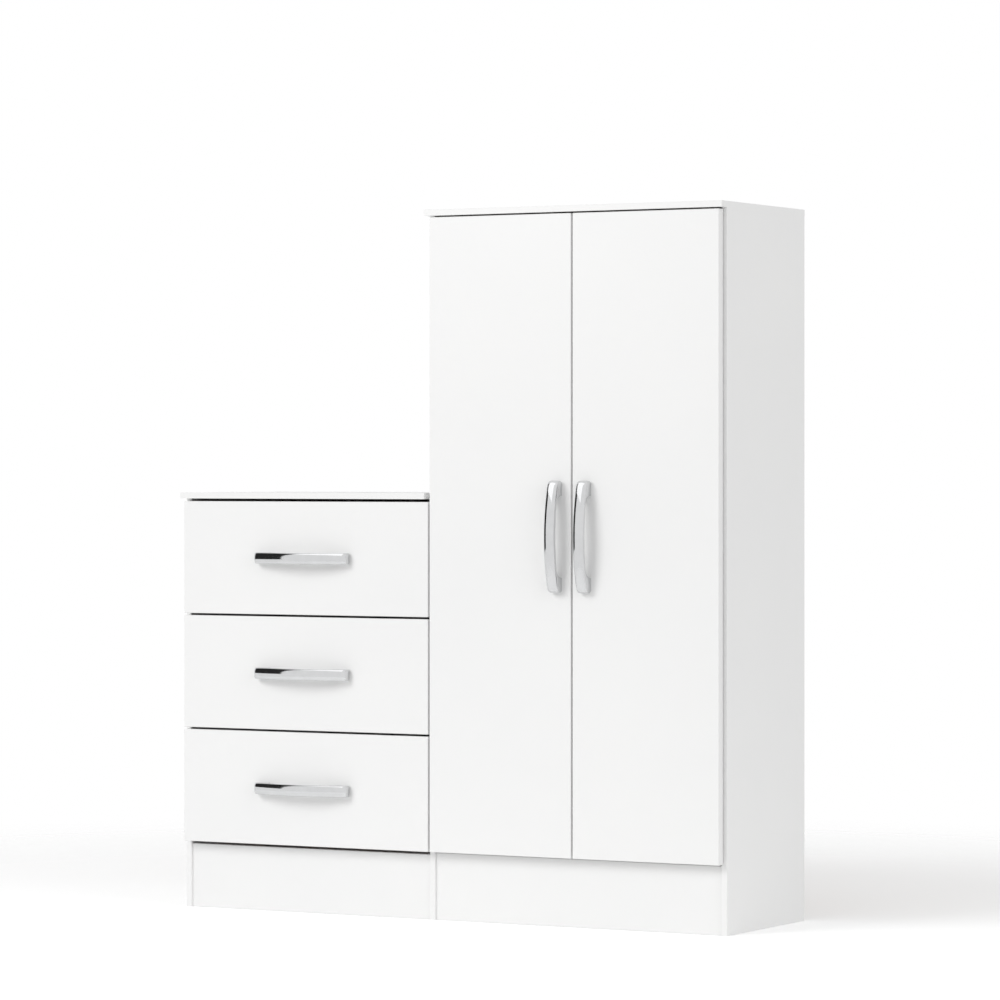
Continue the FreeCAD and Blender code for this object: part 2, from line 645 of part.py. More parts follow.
def hinge_arm(panel_face):
    """Cranked arm with two cheeks, the arm pin, and the plate that fills the space to the panel."""
    middle = ARM_SEAT_X + ARM_THICK / 2
    tail, bend = V(middle, ARM_TAIL_BACK, 0), V(middle, ARM_BEND_BACK, 0)
    gap = LINK_WIDTH / 2 + ARM_CHEEK_PLAY
    full = 2 * (gap + ARM_CHEEK)
    pieces = [strap([tail, bend], ARM_THICK, full), hinge_pin(arm_pin_at(), full)]
    for side in (-1, 1):
        height = V(0, 0, side * (gap + ARM_CHEEK / 2))
        cheek = strap([bend, arm_pin_at()], ARM_THICK, ARM_CHEEK)
        eye = hinge_eye(arm_pin_at(), ARM_EYE, ARM_CHEEK)
        pieces.append(cheek.fuse(eye).translated(height))
    rear = ARM_TAIL_BACK
    plate = box(panel_face, ARM_SEAT_X, rear - PLATE_LENGTH, rear, -PLATE_HEIGHT / 2, PLATE_HEIGHT / 2)
    corners = [edge for edge in plate.Edges if edge.BoundBox.XLength > (ARM_SEAT_X - panel_face) / 2]
    return pieces[0].fuse(pieces[1:] + [plate.makeChamfer(PLATE_CORNER, corners)]).removeSplitter()


def door_handle_spot(side):
    """Middle of a door's handle, beside the meeting edges."""
    middle = (DOORS_LEFT + DOORS_RIGHT) / 2
    away = DOOR_GAP / 2 + HANDLE_FROM_EDGE
    return V(middle - away if side == "left" else middle + away, FRONT_Y, DOOR_HANDLE_HEIGHT)


def door(side):
    """Door board with cup pockets and handle holes."""
    left = DOORS_LEFT if side == "left" else DOORS_RIGHT - DOOR_WIDTH
    body = board(left, left + DOOR_WIDTH, FRONT_Y, FRONT_BACK_Y, FRONT_BOTTOM, DOOR_TOP)
    tools = [placed(handle_screw_hole(spot), door_handle_spot(side), True) for spot in handle_screw_spots()]
    mouth = V(CUP_FROM_EDGE, -FRONT_STANDOFF, 0)
    pocket = inner_bar(mouth, V(0, -1, 0), CUP_DEPTH + FIT, CUP_DIAMETER + 2 * FIT, CUP_SIDES)
    tools += [on_door(pocket, side, height) for height in hinge_heights()]
    return cut_all(body, tools)


# Export

def export_carcass():
    """Boards, back, shelves, pegs, dowels and cams."""
    for name, body in carcass_boards().items():
        export(name, body)
    export("chest_plinth", plinth(BAY_LEFT, PARTITION_X, PLINTH_HEIGHT))
    export("cabinet_plinth", plinth(ROOM_LEFT, ROOM_RIGHT, CABINET_FLOOR))
    seam = PARTITION_X + BOARD / 2
    export("chest_back", back_board(LEFT_X + BACK_INSET, seam - BACK_INSET / 2, CHEST_UNDER + BOARD))
    export("cabinet_back", back_board(seam + BACK_INSET / 2, RIGHT_X - BACK_INSET, TOTAL_HEIGHT))
    for name, height in zip(("lower_shelf", "upper_shelf"), SHELF_HEIGHTS):
        export(name, shelf(height))
    export("shelf_pegs", *[shelf_peg(wall, inward) for wall, inward in shelf_peg_spots()])
    joints = board_joints()
    export("dowels", *[dowel(one, at) for one in joints for at in dowel_spots(one)])
    export("cam_fittings", *[piece for one in joints for piece in (cam_bolt(one), cam_disc(one))])


def export_drawer(index):
    """One drawer with its runners and rollers."""
    name = "drawer_{}_".format(DRAWER_COUNT - index)
    base = drawer_bottom_z(index) + BOX_LIFT
    spot = drawer_handle_spot(index)
    export(name + "front", drawer_front(index))
    export(name + "handle", placed(handle(), spot, False))
    export(name + "handle_screws", *[placed(handle_screw(at), spot, False) for at in handle_screw_spots()])
    for hand, piece in zip(("left", "right"), both_sides(drawer_side(base))):
        export(name + hand + "_side", piece)
    export(name + "back", drawer_back(base))
    export(name + "bottom", drawer_tray(base))
    export(name + "rails", *both_sides(drawer_rail(base)))
    export(name + "rear_rollers", *both_sides(roller(base, True)))
    export(name + "front_rollers", *both_sides(roller(base, False)))


def export_door(side):
    """One door with its handle and hinges."""
    name = side + "_door_"
    spot = door_handle_spot(side)
    heights = hinge_heights()
    panel_face = ROOM_LEFT - DOORS_LEFT if side == "left" else DOORS_RIGHT - ROOM_RIGHT
    export(name + "panel", door(side))
    export(name + "handle", placed(handle(), spot, True))
    export(name + "handle_screws", *[placed(handle_screw(at), spot, True) for at in handle_screw_spots()])
    export(name + "hinge_cups", *[on_door(hinge_cup(), side, height) for height in heights])
    export(name + "hinge_links", *[on_door(hinge_link(), side, height) for height in heights])
    export(name + "hinge_arms", *[on_door(hinge_arm(panel_face), side, height) for height in heights])


def main():
    """Writes every node of the part."""
    os.makedirs("parts", exist_ok=True)
    export_carcass()
    runners = []
    for index in range(DRAWER_COUNT):
        export_drawer(index)
        runners += both_sides(cabinet_runner(drawer_bottom_z(index) + BOX_LIFT))
    export("cabinet_runners", *runners)
    for side in ("left", "right"):
        export_door(side)


main()
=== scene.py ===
"""Looks of a white laminated drawer chest with a two-door cabinet beside it.

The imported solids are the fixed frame. This script gives every board and fitting its finish, models the
chrome bow handles, the runner wheels and the small fasteners, and sets up a plain studio at the
photograph's viewing angle. Sizes are metres, +Z is up and the fronts face -Y.
"""
import json
import logging
import math
from dataclasses import dataclass
from enum import Enum
from typing import Callable, Iterable, Sequence

import bmesh
import bpy
from mathutils import Euler, Matrix, Vector


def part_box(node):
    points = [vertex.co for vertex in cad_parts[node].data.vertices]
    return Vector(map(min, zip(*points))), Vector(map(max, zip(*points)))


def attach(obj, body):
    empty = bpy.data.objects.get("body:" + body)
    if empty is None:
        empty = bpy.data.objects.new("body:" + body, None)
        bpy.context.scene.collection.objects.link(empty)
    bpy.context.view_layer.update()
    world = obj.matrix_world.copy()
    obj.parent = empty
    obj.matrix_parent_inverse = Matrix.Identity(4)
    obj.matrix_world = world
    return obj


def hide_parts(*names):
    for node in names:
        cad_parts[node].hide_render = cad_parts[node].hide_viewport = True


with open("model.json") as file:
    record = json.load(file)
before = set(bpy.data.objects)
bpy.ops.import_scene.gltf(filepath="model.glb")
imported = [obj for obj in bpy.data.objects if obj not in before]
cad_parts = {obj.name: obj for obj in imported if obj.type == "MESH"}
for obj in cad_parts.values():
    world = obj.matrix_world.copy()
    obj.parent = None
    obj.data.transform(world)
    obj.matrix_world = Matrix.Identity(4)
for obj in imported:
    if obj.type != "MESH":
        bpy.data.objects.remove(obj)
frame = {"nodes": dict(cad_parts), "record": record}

log = logging.getLogger("drawer_chest")
MM = 0.001
DRAWERS = (1, 2, 3)
QUARTER = math.radians(90)
ON_PLANE = 1e-6              # how near a place is to the plane that it is picked on
AT_POINT = 1e-5              # how near the middle of a face is to the point that it is picked at
ON_GRID = 1e-4               # how near a vertex is to its first place on the unshaped handle slice
SAME_POINT = 1e-6            # vertices nearer to each other than this become one
NOISE_BAND = (0.3, 0.7)      # most of the noise lies between these values
FACING_LIMIT = 0.7           # faces that look along a direction by more than this count as facing it
Colour = tuple[float, float, float, float]
Place = tuple[float, float, float]
Pair = tuple[float, float]
WHITE: Colour = (1, 1, 1, 1)


class Lie(Enum):
    """How a handle lies on its front."""

    LEVEL = "level"
    UPRIGHT = "upright"


class Pick(Enum):
    """What is selected in edit mode, by Blender's name for it."""

    VERTEX = "VERT"
    EDGE = "EDGE"
    FACE = "FACE"


class RawFace(Enum):
    """The unfinished face of a thin board, as a direction."""

    REAR = (0.0, 1.0, 0.0)
    UNDER = (0.0, 0.0, -1.0)


def corners(node: str) -> tuple[Vector, Vector]:
    """Lowest and highest corner of a frame node at rest."""
    low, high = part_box(node)
    return Vector(low), Vector(high)


class Side(Enum):
    """Left or right door, with the sign of the way from its hinge edge into the door."""

    LEFT = 1
    RIGHT = -1

    @property
    def word(self) -> str:
        """Lower-case name used in node and body names."""
        return self.name.lower()

    @property
    def hinge_edge(self) -> float:
        """X of the door's hinge edge."""
        low, high = corners(self.word + "_door_panel")
        return low.x if self is Side.LEFT else high.x


# Shader helpers

@dataclass(frozen=True)
class Grain:
    """One noise pattern: features per metre, octaves of finer noise, and scale along each axis."""

    scale: float
    detail: float
    stretch: Place = (1, 1, 1)


class Shader:
    """One material's node tree, with short calls to add and link nodes."""

    def __init__(self, name: str) -> None:
        """Starts an empty node material.

        Args:
            name: Name of the material.
        """
        self.material = bpy.data.materials.new(name)
        self.material.use_nodes = True
        self.tree = self.material.node_tree
        self.tree.nodes.clear()
        self.output = self.add("ShaderNodeOutputMaterial")
        self.surface = self.add("ShaderNodeBsdfPrincipled")
        self.link(self.surface.outputs["BSDF"], self.output.inputs["Surface"])
        self.place = self.add("ShaderNodeTexCoord").outputs["Object"]

    def add(self, kind: str, **settings: object) -> bpy.types.Node:
        """Adds a node and sets its properties.

        Args:
            kind: Blender's name of the node type.
            settings: Properties of the node.

        Returns:
            The new node.
        """
        node = self.tree.nodes.new(kind)
        for key, value in settings.items():
            setattr(node, key, value)
        return node

    def link(self, source: bpy.types.NodeSocket, target: bpy.types.NodeSocket) -> None:
        """Links two sockets."""
        self.tree.links.new(source, target)

    def noise(self, grain: Grain) -> bpy.types.NodeSocket:
        """Noise in object space.

        Args:
            grain: Its scale, detail and stretch.

        Returns:
            The noise value socket.
        """
        mapping = self.add("ShaderNodeMapping")
        mapping.inputs["Scale"].default_value = grain.stretch
        self.link(self.place, mapping.inputs["Vector"])
        node = self.add("ShaderNodeTexNoise")
        node.inputs["Scale"].default_value = grain.scale
        node.inputs["Detail"].default_value = grain.detail
        self.link(mapping.outputs["Vector"], node.inputs["Vector"])
        return node.outputs["Fac"]

    def ramp(self, value: bpy.types.NodeSocket, low: Colour, high: Colour) -> bpy.types.NodeSocket:
        """Turns a noise value into a colour between two.

        Args:
            value: Socket with the value.
            low: Colour at the low end of the noise.
            high: Colour at its high end.

        Returns:
            The colour socket.
        """
        node = self.add("ShaderNodeValToRGB")
        for element, position, colour in zip(node.color_ramp.elements, NOISE_BAND, (low, high)):
            element.position = position
            element.color = colour
        self.link(value, node.inputs["Fac"])
        return node.outputs["Color"]

    def span(self, value: bpy.types.NodeSocket, low: float, high: float) -> bpy.types.NodeSocket:
        """Maps a noise value to a range.

        Args:
            value: Socket with the value.
            low: Result at the low end of the noise.
            high: Result at its high end.

        Returns:
            The mapped value socket.
        """
        node = self.add("ShaderNodeMapRange")
        limits = ("From Min", "From Max", "To Min", "To Max")
        for limit, number in zip(limits, (*NOISE_BAND, low, high)):
            node.inputs[limit].default_value = number
        self.link(value, node.inputs["Value"])
        return node.outputs["Result"]

    def mix(self, factor: bpy.types.NodeSocket, first: bpy.types.NodeSocket,
            second: bpy.types.NodeSocket) -> bpy.types.NodeSocket:
        """Mixes two colours.

        Args:
            factor: 0 gives first and 1 gives second.
            first: Colour socket.
            second: Colour socket.

        Returns:
            The mixed colour socket.
        """
        node = self.add("ShaderNodeMix", data_type="RGBA")
        self.link(factor, node.inputs["Factor"])
        self.link(first, node.inputs["A"])
        self.link(second, node.inputs["B"])
        return node.outputs["Result"]

    def facing(self, direction: Sequence[float]) -> bpy.types.NodeSocket:
        """Mask of the faces that look along a direction of the object.

        Args:
            direction: Unit direction.

        Returns:
            Value socket, 1 on those faces.
        """
        dot = self.add("ShaderNodeVectorMath", operation="DOT_PRODUCT")
        dot.inputs[1].default_value = direction
        self.link(self.add("ShaderNodeNewGeometry").outputs["True Normal"], dot.inputs[0])
        step = self.add("ShaderNodeMath", operation="GREATER_THAN")
        step.inputs[1].default_value = FACING_LIMIT
        self.link(dot.outputs["Value"], step.inputs[0])
        return step.outputs["Value"]

    def bump(self, height: bpy.types.NodeSocket, distance: float, strength: float) -> None:
        """Puts a fine relief on the surface.

        Args:
            height: Height socket.
            distance: Height of the relief in metres.
            strength: Share of the relief that shows.
        """
        node = self.add("ShaderNodeBump")
        node.inputs["Distance"].default_value = distance
        node.inputs["Strength"].default_value = strength
        self.link(height, node.inputs["Height"])
        self.link(node.outputs["Normal"], self.surface.inputs["Normal"])

    def base(self, colour: bpy.types.NodeSocket) -> None:
        """Links the base colour."""
        self.link(colour, self.surface.inputs["Base Color"])

    def rough(self, value: bpy.types.NodeSocket) -> None:
        """Links the roughness."""
        self.link(value, self.surface.inputs["Roughness"])

    def set(self, socket: str, value: float) -> None:
        """Sets a constant value on one of the surface shader's own sockets."""
        self.surface.inputs[socket].default_value = value


def seen_directly(tree: bpy.types.NodeTree) -> bpy.types.NodeSocket:
    """Tells what the camera, a mirror or glass shows from light that falls on surfaces.

    Args:
        tree: Node tree of the world or the floor.

    Returns:
        Value socket, 1 for what is shown.
    """
    path = tree.nodes.new("ShaderNodeLightPath")
    seen = path.outputs["Is Camera Ray"]
    for ray in ("Is Glossy Ray", "Is Transmission Ray"):
        either = tree.nodes.new("ShaderNodeMath")
        either.operation = "MAXIMUM"
        tree.links.new(seen, either.inputs[0])
        tree.links.new(path.outputs[ray], either.inputs[1])
        seen = either.outputs["Value"]
    return seen


# Finishes

ROLLING_STREAK = Grain(300, 3, (1, 1, 0.12))
ORANGE_PEEL = Grain(380, 1)
MATT_GRAIN = Grain(1400, 2)
BEECH_FLECK = Grain(700, 3, (0.3, 1, 0.3))


@dataclass(frozen=True)
class Finish:
    """A surface with an uneven tone, an uneven gloss and a fine relief."""

    name: str
    tone: Colour
    shade: Colour
    cloud: Grain
    gloss: Grain
    roughness: Pair
    relief: Grain
    depth: float
    strength: float
    metallic: float = 0.0
    ior: float | None = None

    def material(self) -> bpy.types.Material:
        """Makes the material.

        Returns:
            The material, which pieces of this finish share.
        """
        shader = Shader(self.name)
        shader.base(shader.ramp(shader.noise(self.cloud), self.shade, self.tone))
        shader.rough(shader.span(shader.noise(self.gloss), *self.roughness))
        shader.bump(shader.noise(self.relief), self.depth, self.strength)
        shader.set("Metallic", self.metallic)
        if self.ior is not None:
            shader.set("IOR", self.ior)
        return shader.material


@dataclass(frozen=True)
class Laminate(Finish):
    """White melamine on particle board: faintly uneven tone and a fine pressed pore."""

    name: str = "white_laminate"
    tone: Colour = (0.905, 0.905, 0.900, 1)
    shade: Colour = (0.885, 0.886, 0.884, 1)
    cloud: Grain = Grain(2.6, 3)
    gloss: Grain = Grain(40, 3)
    roughness: Pair = (0.34, 0.44)
    relief: Grain = Grain(950, 1)
    depth: float = 0.00003
    strength: float = 0.35
    ior: float | None = 1.46


@dataclass(frozen=True)
class Chrome(Finish):
    """Polished chrome plate with a barely uneven mirror."""

    name: str = "chrome_plate"
    tone: Colour = (0.66, 0.665, 0.672, 1)
    shade: Colour = (0.63, 0.635, 0.642, 1)
    cloud: Grain = Grain(60, 2)
    gloss: Grain = Grain(260, 3)
    roughness: Pair = (0.05, 0.11)
    relief: Grain = Grain(90, 1)
    depth: float = 0.00003
    strength: float = 0.06
    metallic: float = 1.0


@dataclass(frozen=True)
class ZincSteel(Finish):
    """Bright zinc plate on pressed steel, with rolling streaks."""

    name: str = "zinc_steel"
    tone: Colour = (0.66, 0.67, 0.68, 1)
    shade: Colour = (0.50, 0.51, 0.53, 1)
    cloud: Grain = ROLLING_STREAK
    gloss: Grain = ROLLING_STREAK
    roughness: Pair = (0.24, 0.40)
    relief: Grain = ROLLING_STREAK
    depth: float = 0.00002
    strength: float = 0.3
    metallic: float = 1.0


@dataclass(frozen=True)
class CoatedSteel(Finish):
    """White epoxy coat with a light orange peel."""

    name: str = "white_epoxy_coat"
    tone: Colour = (0.87, 0.87, 0.86, 1)
    shade: Colour = (0.83, 0.83, 0.82, 1)
    cloud: Grain = Grain(9, 3)
    gloss: Grain = ORANGE_PEEL
    roughness: Pair = (0.30, 0.40)
    relief: Grain = ORANGE_PEEL
    depth: float = 0.00004
    strength: float = 0.08


@dataclass(frozen=True)
class Moulded(Finish):
    """Moulded plastic with a fine matt grain."""

    cloud: Grain = Grain(120, 2)
    gloss: Grain = MATT_GRAIN
    roughness: Pair = (0.36, 0.52)
    relief: Grain = MATT_GRAIN
    depth: float = 0.00002
    strength: float = 0.4


@dataclass(frozen=True)
class Nylon(Moulded):
    """White nylon of the runner wheels."""

    name: str = "white_nylon"
    tone: Colour = (0.82, 0.82, 0.80, 1)
    shade: Colour = (0.76, 0.76, 0.74, 1)


@dataclass(frozen=True)
class PegPlastic(Moulded):
    """Pale plastic of the shelf pegs."""

    name: str = "pale_peg"
    tone: Colour = (0.80, 0.80, 0.79, 1)
    shade: Colour = (0.74, 0.74, 0.73, 1)


@dataclass(frozen=True)
class Beech(Finish):
    """Plain turned beech with short flecks."""

    name: str = "beech"
    tone: Colour = (0.56, 0.36, 0.19, 1)
    shade: Colour = (0.42, 0.25, 0.12, 1)
    cloud: Grain = BEECH_FLECK
    gloss: Grain = BEECH_FLECK
    roughness: Pair = (0.5, 0.65)
    relief: Grain = BEECH_FLECK
    depth: float = 0.00004
    strength: float = 0.4


@dataclass(frozen=True)
class Hardboard:
    """Thin board, white on its good face, brown pressed fibre on its raw one."""

    raw: RawFace
    white: Colour = (0.86, 0.86, 0.85, 1)
    dull: Colour = (0.82, 0.82, 0.81, 1)
    fibre_dark: Colour = (0.17, 0.095, 0.048, 1)
    fibre_light: Colour = (0.30, 0.18, 0.10, 1)
    cloud: Grain = Grain(5, 3)
    weave: Grain = Grain(420, 4, (1, 1, 1.6))
    roughness: Pair = (0.48, 0.72)
    depth: float = 0.00006
    strength: float = 0.4

    def material(self) -> bpy.types.Material:
        """Makes the material.

        Returns:
            The material of boards with this raw face.
        """
        shader = Shader("hardboard_raw_" + self.raw.name.lower())
        good = shader.ramp(shader.noise(self.cloud), self.dull, self.white)
        weave = shader.noise(self.weave)
        raw = shader.ramp(weave, self.fibre_dark, self.fibre_light)
        shader.base(shader.mix(shader.facing(self.raw.value), good, raw))
        shader.rough(shader.span(weave, *self.roughness))
        shader.bump(weave, self.depth, self.strength)
        return shader.material


class FinishSet:
    """All finishes, each made once."""

    def __init__(self) -> None:
        """Makes every material."""
        self.laminate = Laminate().material()
        self.back = Hardboard(RawFace.REAR).material()
        self.tray = Hardboard(RawFace.UNDER).material()
        self.chrome = Chrome().material()
        self.zinc = ZincSteel().material()
        self.coat = CoatedSteel().material()
        self.nylon = Nylon().material()
        self.peg = PegPlastic().material()
        self.beech = Beech().material()

    def for_node(self, node: str, slot: str) -> bpy.types.Material:
        """Finish of a frame node.

        Args:
            node: Name of the node.
            slot: Its material slot in the record.

        Returns:
            The material.
        """
        if slot == "white_hardboard":
            return self.back if node.endswith("_back") else self.tray
        return {
            "white_laminate": self.laminate,
            "chrome_handle": self.chrome,
            "zinc_steel": self.zinc,
            "white_coated_steel": self.coat,
            "white_nylon": self.nylon,
            "clear_peg": self.peg,
            "beech_dowel": self.beech,
        }[slot]


# Modelling helpers

class Bench:
    """Short calls to Blender's own modelling operators."""

    @staticmethod
    def clear() -> None:
        """Deselects everything."""
        for item in bpy.context.selected_objects:
            item.select_set(False)

    @staticmethod
    def start(name: str) -> bpy.types.Object:
        """Names the new primitive and opens it for editing.

        Args:
            name: Name of the piece.

        Returns:
            The primitive's object.
        """
        piece = bpy.context.object
        piece.name = name
        piece.data.name = name
        bpy.ops.object.transform_apply(location=True, rotation=True, scale=True)
        bpy.ops.object.mode_set(mode="EDIT")
        return piece

    @staticmethod
    def pick(piece: bpy.types.Object, test: Callable[[Vector], bool], kind: Pick = Pick.VERTEX) -> None:
        """Selects the vertices, edges or faces whose middle passes a test.

        Args:
            piece: Object in edit mode.
            test: Takes a place and says whether to select it.
            kind: What is selected.
        """
        bpy.ops.mesh.select_mode(type=kind.value)
        bpy.ops.mesh.select_all(action="DESELECT")
        mesh = bmesh.from_edit_mesh(piece.data)
        if kind is Pick.VERTEX:
            spots = [(item, item.co) for item in mesh.verts]
        elif kind is Pick.EDGE:
            spots = [(item, (item.verts[0].co + item.verts[1].co) / 2) for item in mesh.edges]
        else:
            spots = [(item, item.calc_center_median()) for item in mesh.faces]
        for item, spot in spots:
            if test(spot):
                item.select_set(True)
        mesh.select_flush_mode()
        bmesh.update_edit_mesh(piece.data)

    @staticmethod
    def shift(step: Sequence[float]) -> None:
        """Moves what is selected."""
        bpy.ops.transform.translate(value=step)

    @staticmethod
    def pull(step: Sequence[float]) -> None:
        """Extrudes what is selected."""
        bpy.ops.mesh.extrude_region_move(TRANSFORM_OT_translate={"value": step})

    @staticmethod
    def close(piece: bpy.types.Object, angle: float = 35.0) -> None:
        """Turns normals outward, leaves edit mode and shades by angle.

        Args:
            piece: Object in edit mode.
            angle: Sharper edges than this stay sharp, in degrees.
        """
        bpy.ops.mesh.select_all(action="SELECT")
        bpy.ops.mesh.remove_doubles(threshold=SAME_POINT)
        bpy.ops.mesh.normals_make_consistent(inside=False)
        bpy.ops.object.mode_set(mode="OBJECT")
        Bench.hold(piece)
        bpy.ops.object.shade_smooth_by_angle(angle=math.radians(angle))

    @staticmethod
    def hold(piece: bpy.types.Object) -> None:
        """Selects one piece alone and makes it active.

        Args:
            piece: The piece.
        """
        Bench.clear()
        piece.select_set(True)
        bpy.context.view_layer.objects.active = piece

    @staticmethod
    def copies(master: bpy.types.Object, name: str, places: Iterable[Matrix]) -> bpy.types.Object:
        """Joins placed copies of a master into one piece with its own mesh.

        Args:
            master: The piece to copy.
            name: Name of the result.
            places: Where each copy goes.

        Returns:
            The joined piece, at the origin.
        """
        Bench.clear()
        made = []
        for place in places:
            twin = master.copy()
            twin.data = master.data.copy()
            twin.data.transform(place)
            bpy.context.scene.collection.objects.link(twin)
            twin.select_set(True)
            made.append(twin)
        bpy.context.view_layer.objects.active = made[0]
        if len(made) > 1:
            bpy.ops.object.join()
        made[0].name = name
        made[0].data.name = name
        return made[0]

    @staticmethod
    def dress(piece: bpy.types.Object, material: bpy.types.Material, body: str, slot: str) -> None:
        """Gives a piece its material and body, and reports it.

        Args:
            piece: The finished piece.
            material: Its finish.
            body: Body that it moves with.
            slot: Material slot of the record; not used.
        """
        piece.data.materials.clear()
        piece.data.materials.append(material)
        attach(piece, body)
        log.info("%s: %d faces on %s", piece.name, len(piece.data.polygons), body)


# Sub-assemblies

@dataclass
class BowHandle:
    """Cast bow handle: a shallow crowned arch that thickens into two bull-nosed ends."""

    finishes: FinishSet
    length: float = 178 * MM
    width: float = 18 * MM
    rise: float = 29.9 * MM
    nose: float = 11 * MM
    nose_height: float = 8 * MM
    nose_share: float = 0.985
    strip: float = 7.5 * MM
    foot: float = 20 * MM
    clear: float = 100 * MM
    clear_height: float = 19 * MM
    crown: float = 3.4 * MM
    crown_reach: float = 0.96
    corner_draw: float = 0.008
    inside_share: float = 0.25
    smooth_angle: float = 50.0
    slices: tuple[float, ...] = (-1.0, -0.93, -0.8, -0.6, -0.32, 0.0, 0.32, 0.6, 0.8, 0.93, 1.0)
    bow_steps: int = 8
    arch_steps: int = 8
    base_steps: int = 4
    nose_steps: int = 9

    @property
    def middle(self) -> float:
        """Middle of an end's rounding, along the handle."""
        return self.length / 2 - self.nose

    @property
    def heel(self) -> float:
        """Place where an end's rounding meets the front."""
        return self.middle + math.sqrt(self.nose ** 2 - self.nose_height ** 2)

    @property
    def bow(self) -> float:
        """Radius of the outside, which runs into the rounded ends without a corner."""
        fall = self.rise - self.nose_height
        return (self.middle ** 2 + fall ** 2 - self.nose ** 2) / (2 * (fall - self.nose))

    @property
    def lean(self) -> float:
        """Angle at which the bow runs into an end's rounding."""
        return math.asin(self.middle / (self.bow - self.nose))

    def stations(self) -> list[float]:
        """Places along one half where the outline is set, closer together where it turns.

        Returns:
            Distances from the handle's middle, rising.
        """
        clear, foot = self.clear / 2, self.heel - self.foot
        bend, tip = self.bow * math.sin(self.lean), math.asin(self.nose_share)
        places = [clear * step / self.bow_steps for step in range(self.bow_steps + 1)]
        for step in range(1, self.arch_steps + 1):
            places.append(clear + (foot - clear) * math.sin(math.pi / 2 * step / self.arch_steps))
        for step in range(1, self.base_steps + 1):
            places.append(foot + (bend - foot) * step / self.base_steps)
        for step in range(1, self.nose_steps + 1):
            turn = self.lean + (tip - self.lean) * step / self.nose_steps
            places.append(self.middle + self.nose * math.sin(turn))
        return places

    def outer(self, place: float) -> float:
        """Height of the outside of the bow above the front, along its middle.

        Args:
            place: Distance from the handle's middle.

        Returns:
            The height.
        """
        if place <= self.bow * math.sin(self.lean):
            return self.rise - self.bow + math.sqrt(self.bow ** 2 - place ** 2)
        return self.nose_height + math.sqrt(max(self.nose ** 2 - (place - self.middle) ** 2, 0.0))

    def inner(self, place: float) -> float:
        """Height of the inside of the bow above the front.

        Args:
            place: Distance from the handle's middle.

        Returns:
            The height, 0 along the foot.
        """
        clear, foot = self.clear / 2, self.heel - self.foot
        if place <= clear:
            rest = self.rise - self.strip - self.clear_height
            return self.clear_height + rest * (1 - (place / clear) ** 2)
        if place < foot:
            return self.clear_height * math.sqrt(1 - ((place - clear) / (foot - clear)) ** 2)
        if place < self.heel:
            return 0.0
        return self.nose_height - math.sqrt(max(self.nose ** 2 - (place - self.middle) ** 2, 0.0))

    def drop(self, across: float) -> float:
        """How far the outside falls from its middle line toward a rim, across from -1 to 1."""
        return self.crown * (1 - math.sqrt(1 - self.crown_reach * across ** 2))

    def draw(self, across: float) -> float:
        """Share of the length that a slice keeps, less toward the rims."""
        return 1 - self.corner_draw * across ** 4

    def master(self) -> bpy.types.Object:
        """Models one handle along X on the plane Y = 0.

        Returns:
            The handle, standing out to -Y, its middle at the origin.
        """
        piece = self._side_face()
        here = self.slices[0]
        for there in self.slices[1:]:
            level = here * self.width / 2
            Bench.pick(piece, lambda spot: abs(spot.z - level) < ON_PLANE, Pick.FACE)
            Bench.pull((0, 0, (there - here) * self.width / 2))
            keep = self.draw(there) / self.draw(here)
            bpy.ops.transform.resize(value=(keep, 1, 1), center_override=(0, 0, 0))
            level = there * self.width / 2
            Bench.pick(piece, lambda spot: abs(spot.z - level) < ON_PLANE and self._is_outside(spot))
            Bench.shift((0, self.drop(there) - self.drop(here), 0))
            here = there
        Bench.close(piece, self.smooth_angle)
        return piece

    def _side_face(self) -> bpy.types.Object:
        """Draws the first slice: a plane cut in columns that are moved onto the outline.

        Returns:
            The slice, in edit mode.
        """
        half = self.stations()
        places = [-place for place in reversed(half[1:])] + half
        aside = 10.0   # placed columns wait here, clear of those still to be placed
        reach = 0.5    # from the middle of the unshaped plane to its edges
        Bench.clear()
        bpy.ops.mesh.primitive_plane_add(size=2 * reach, location=(0, 0, 0))
        piece = Bench.start("bow_handle")
        Bench.pick(piece, lambda spot: abs(abs(spot.y) - reach) < ON_GRID and abs(spot.x) < ON_GRID,
                   Pick.EDGE)
        bpy.ops.mesh.subdivide(number_cuts=len(places) - 2)
        rim = self.slices[0]
        for count, place in enumerate(places):
            column = count / (len(places) - 1) - reach
            heights = ((-reach, self.outer(abs(place)) - self.drop(rim)), (reach, self.inner(abs(place))))
            for edge, height in heights:
                Bench.pick(piece, self._at(column, edge))
                Bench.shift((place * self.draw(rim) - column + aside, -height - edge, 0))
        Bench.pick(piece, lambda spot: True)
        Bench.shift((-aside, 0, rim * self.width / 2))
        return piece

    @staticmethod
    def _at(column: float, edge: float) -> Callable[[Vector], bool]:
        """Test for the one vertex of a column that hasn't been placed yet."""
        return lambda spot: abs(spot.x - column) < ON_GRID and abs(spot.y - edge) < ON_GRID

    def _is_outside(self, spot: Vector) -> bool:
        """Says whether a place of the outline belongs to the outside of the bow.

        Args:
            spot: Place on the handle.

        Returns:
            True on the outside.
        """
        place = abs(spot.x)
        low, high = self.inner(place), self.outer(place)
        return -spot.y > low + self.inside_share * (high - low)

